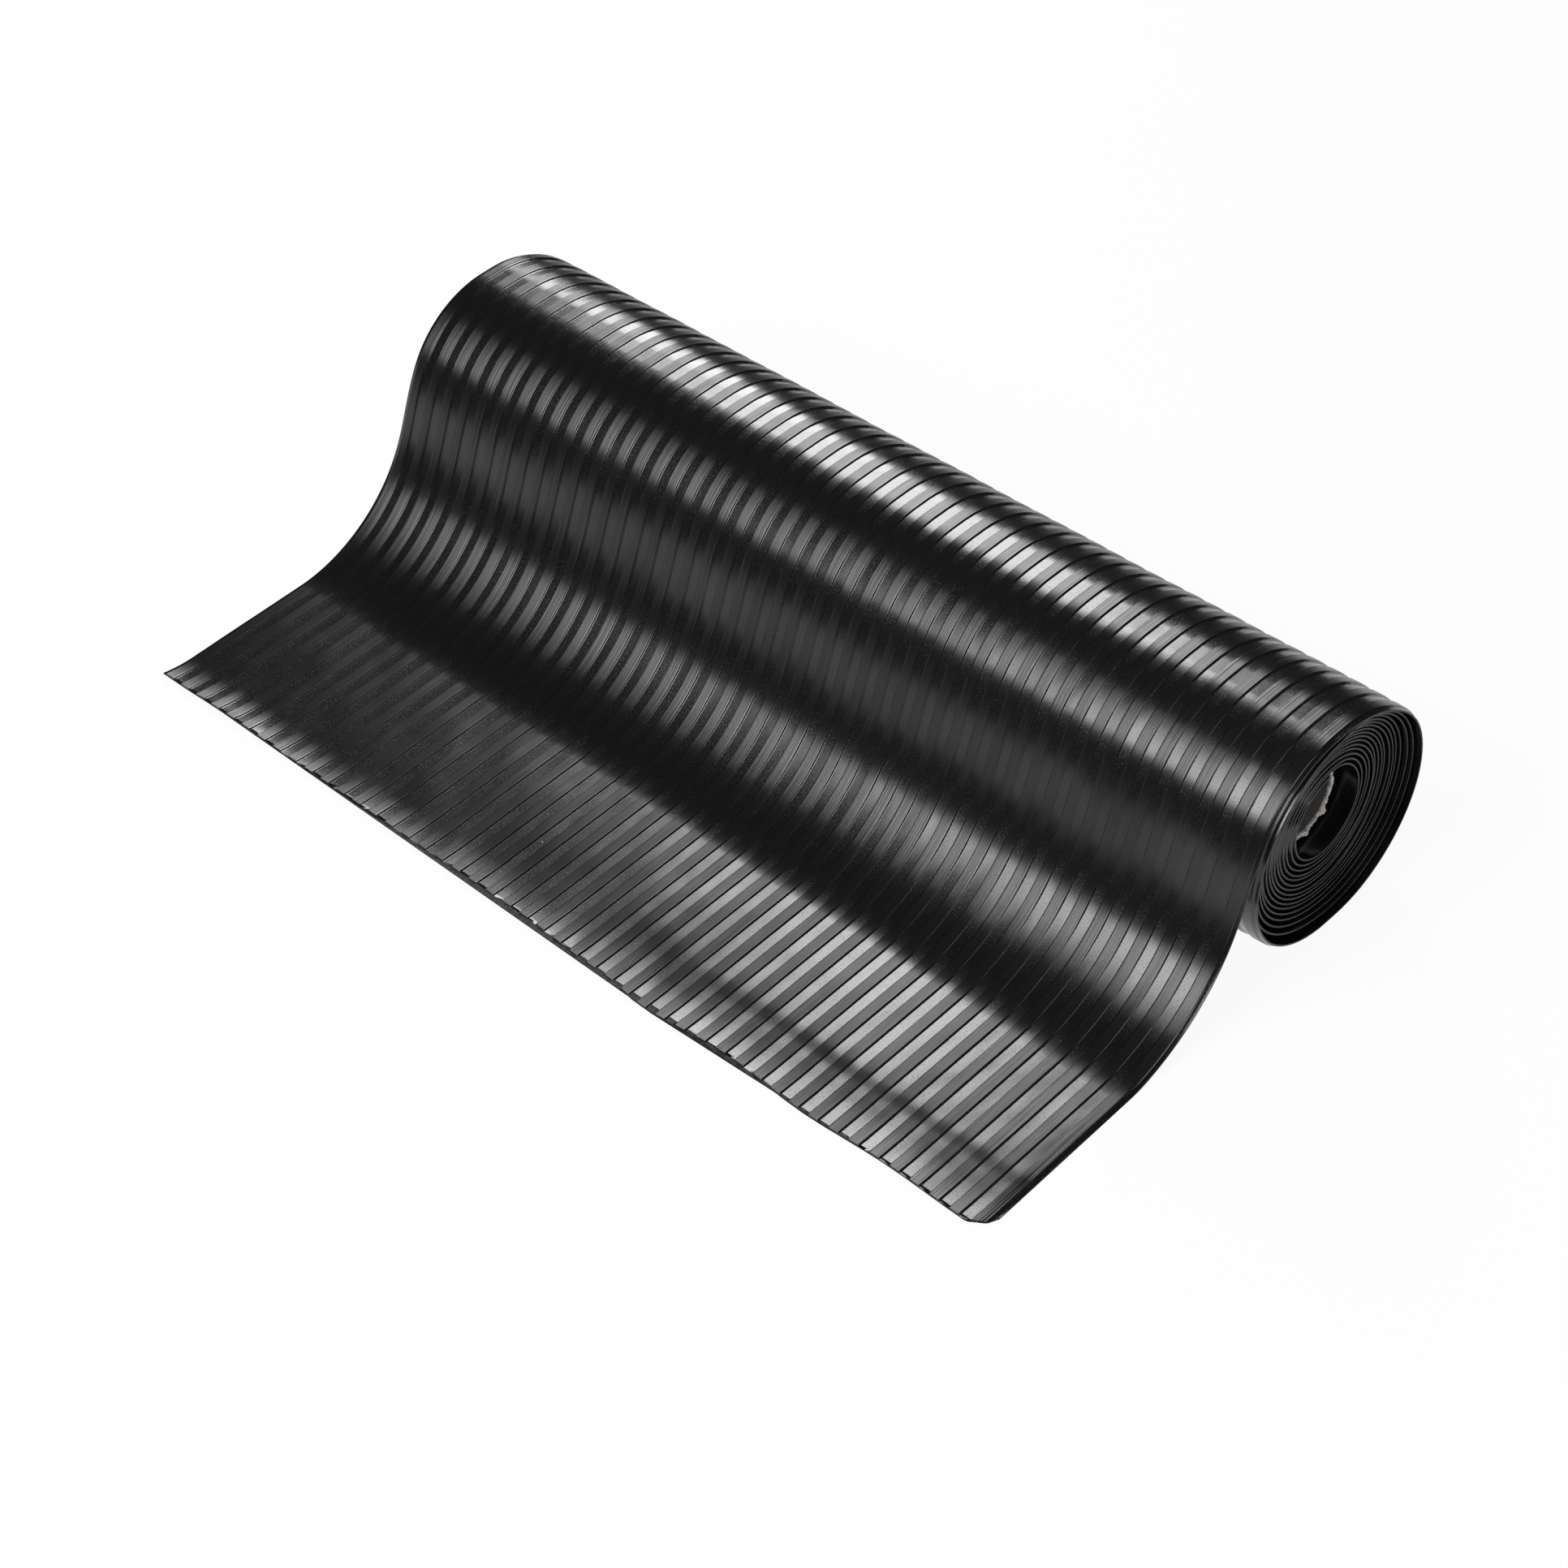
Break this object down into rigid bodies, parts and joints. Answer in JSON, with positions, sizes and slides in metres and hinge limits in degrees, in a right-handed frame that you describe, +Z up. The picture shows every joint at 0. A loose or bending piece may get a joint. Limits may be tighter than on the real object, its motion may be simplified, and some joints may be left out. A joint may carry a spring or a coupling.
{
  "type": "ribbed runner mat",
  "caption": "Heavy black rubber runner mat with fine lengthwise ribs, part rolled up on a paper tube, its free end dropping off the roll and lying flat on the floor.",
  "frame": {"origin": "on the floor, under the middle of the whole part as it lies, roll and free end together", "axes": "+X along the roll's axis towards the end that shows the torn tube, +Y from the free end towards the roll, +Z up"},
  "size_m": [0.917, 0.5118, 0.1965],
  "materials": {
    "mat_rubber": "satin",
    "tube_board": "matte"
  },
  "bodies": {
    "root": {"ribbed_mat": "mat_rubber", "core_tube": "tube_board"}
  },
  "joints": []
}
